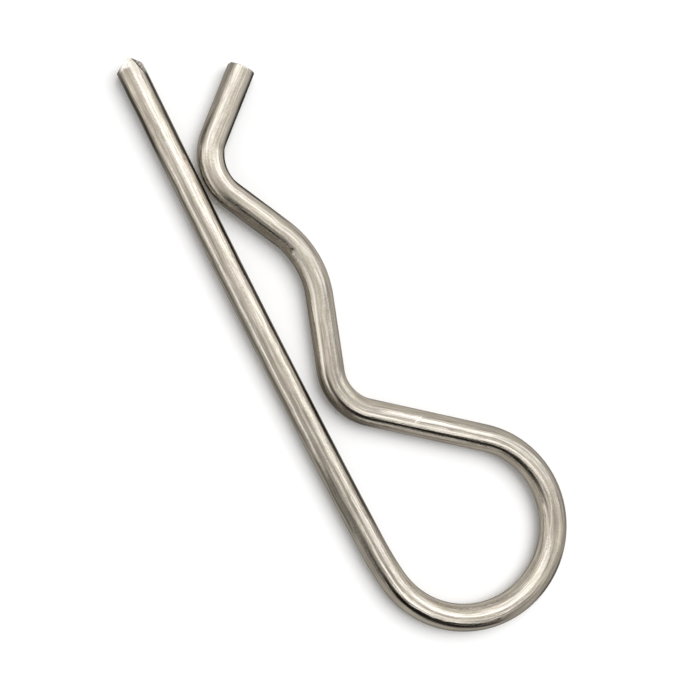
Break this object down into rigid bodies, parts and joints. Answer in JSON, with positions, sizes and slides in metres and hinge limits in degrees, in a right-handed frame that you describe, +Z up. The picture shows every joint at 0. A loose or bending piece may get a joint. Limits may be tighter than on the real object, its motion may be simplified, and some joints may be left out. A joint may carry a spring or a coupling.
{
  "type": "hitch pin clip",
  "caption": "Sprung wire clip of the R pattern: a straight leg for a pin's cross hole, a round loop and a wavy arm that grips the pin's shaft.",
  "frame": {"origin": "middle of the clip's outline, on the surface that the clip lies on", "axes": "+X along the leg from its cut tip to the loop, +Y from the leg to the sprung arm, +Z up, square to the plane that the clip is bent in"},
  "size_m": [0.0724, 0.0238, 0.003],
  "materials": {
    "wire": "satin, drawn lengthwise"
  },
  "bodies": {
    "root": {"r_clip": "wire"}
  },
  "joints": []
}
